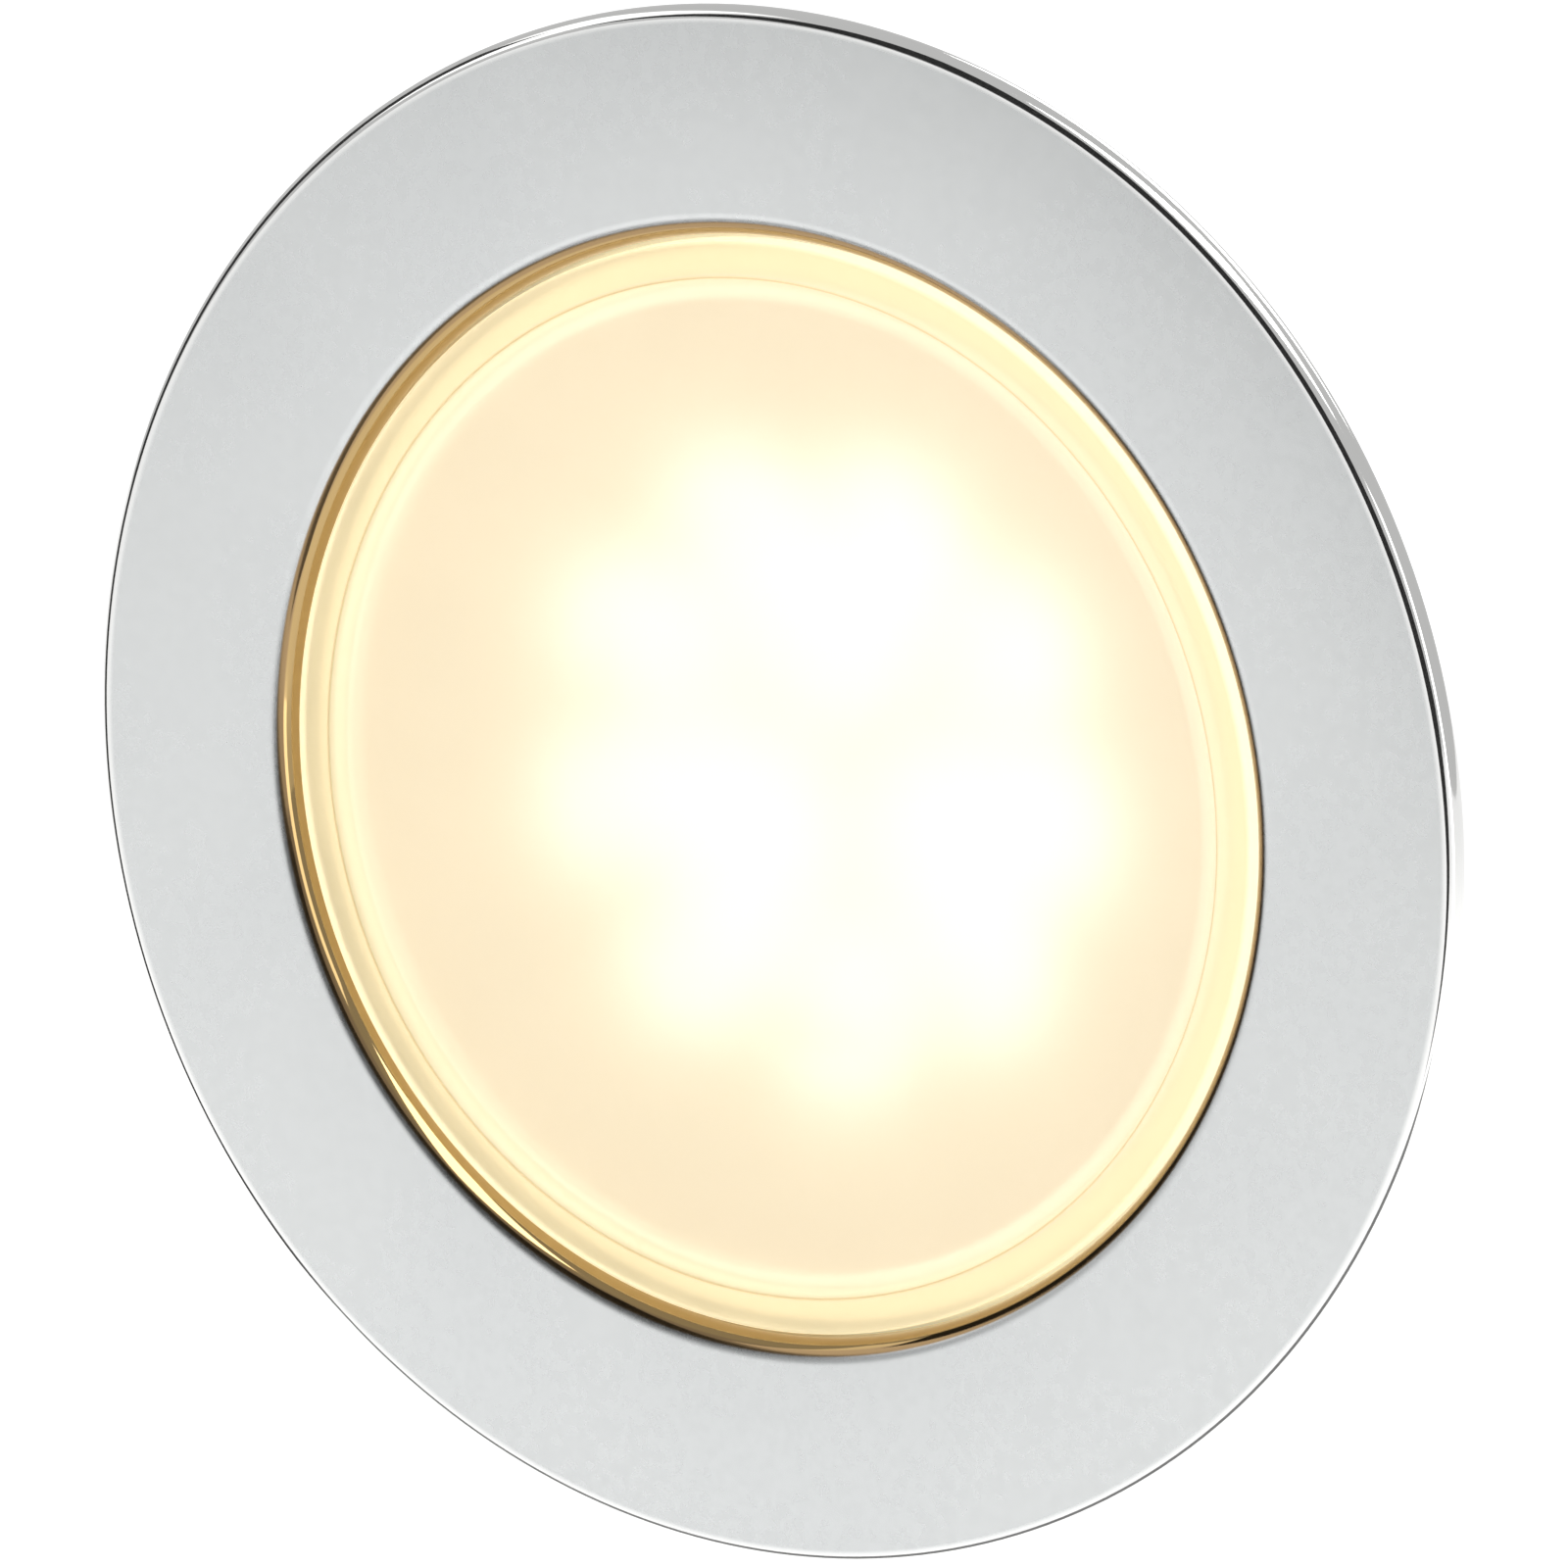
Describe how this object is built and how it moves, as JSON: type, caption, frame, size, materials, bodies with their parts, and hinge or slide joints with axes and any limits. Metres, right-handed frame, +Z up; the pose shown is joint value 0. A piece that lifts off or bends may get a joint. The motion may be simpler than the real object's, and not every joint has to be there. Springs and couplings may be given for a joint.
{
  "type": "recessed round trailer lamp",
  "caption": "Round recessed LED lamp with a flat steel rim, a frosted lens, a finned aluminium body and sprung wire clips that hold it behind a panel.",
  "frame": {"origin": "centre of the panel cut-out, in the plane of the panel's front face, which is the back of the gasket", "axes": "+Y into the panel, away from the viewer, so the lens faces -Y; +Z up, with the cable inlet at the bottom; +X to the right as seen from the front"},
  "size_m": [0.095, 0.019, 0.095],
  "materials": {
    "rim_steel": "polished stainless steel",
    "cast_aluminium": "die cast and tumbled",
    "bracket_steel": "bright zinc plated",
    "spring_steel": "drawn spring wire",
    "lens_plastic": "frosted translucent polycarbonate, lit warm white",
    "reflector_plastic": "white moulded, satin",
    "led_package": "white housing with a yellow phosphor window",
    "white_solder_mask": "white solder mask on an aluminium-core board",
    "thermal_pad": "grey silicone",
    "black_rubber": "matt",
    "foam_gasket": "closed-cell foam",
    "black_epoxy": "moulded epoxy with tinned leads",
    "ferrite": "matt pressed ferrite",
    "capacitor_ceramic": "fired, with tinned ends",
    "terminal_plastic": "white nylon",
    "clear_vinyl": "soft translucent vinyl"
  },
  "bodies": {
    "lamp": {"rim": "rim_steel", "lens": "lens_plastic", "lens_seal": "black_rubber", "panel_gasket": "foam_gasket", "body": "cast_aluminium", "cable_grommet": "black_rubber", "reflector": "reflector_plastic", "led_board": "white_solder_mask", "thermal_pad": "thermal_pad", "led_01": "led_package", "led_02": "led_package", "led_03": "led_package", "led_04": "led_package", "led_05": "led_package", "led_06": "led_package", "led_07": "led_package", "led_08": "led_package", "led_09": "led_package", "led_10": "led_package", "led_11": "led_package", "led_12": "led_package", "board_screw_1": "bracket_steel", "board_screw_2": "bracket_steel", "board_screw_3": "bracket_steel", "bridge_rectifier": "black_epoxy", "surge_diode": "black_epoxy", "driver_ic": "black_epoxy", "power_inductor": "ferrite", "input_capacitor": "capacitor_ceramic", "output_capacitor": "capacitor_ceramic", "sense_resistor_1": "black_epoxy", "sense_resistor_2": "black_epoxy", "wire_terminal": "terminal_plastic", "clip_bracket_right": "bracket_steel", "clip_pin_right": "bracket_steel", "clip_spring_right": "spring_steel", "clip_screw_right_1": "bracket_steel", "clip_screw_right_2": "bracket_steel", "clip_bracket_left": "bracket_steel", "clip_pin_left": "bracket_steel", "clip_spring_left": "spring_steel", "clip_screw_left_1": "bracket_steel", "clip_screw_left_2": "bracket_steel"},
    "clip_right": {"clip_arm_right": "spring_steel", "clip_sleeve_right": "clear_vinyl"},
    "clip_left": {"clip_arm_left": "spring_steel", "clip_sleeve_left": "clear_vinyl"}
  },
  "joints": [
    {"name": "clip_right_fold", "type": "hinge", "parent": "lamp", "child": "clip_right", "pos_m": [0.0345, 0.01005, 0], "axis": [0, 0, 1], "range_deg": [0, 140], "stiffness_Nm_per_rad": 0.09, "springref_deg": -45.84, "deforming": ["clip_spring_right"]},
    {"name": "clip_left_fold", "type": "hinge", "parent": "lamp", "child": "clip_left", "pos_m": [-0.0345, 0.01005, 0], "axis": [0, 0, -1], "range_deg": [0, 140], "stiffness_Nm_per_rad": 0.09, "springref_deg": -45.84, "deforming": ["clip_spring_left"]}
  ]
}
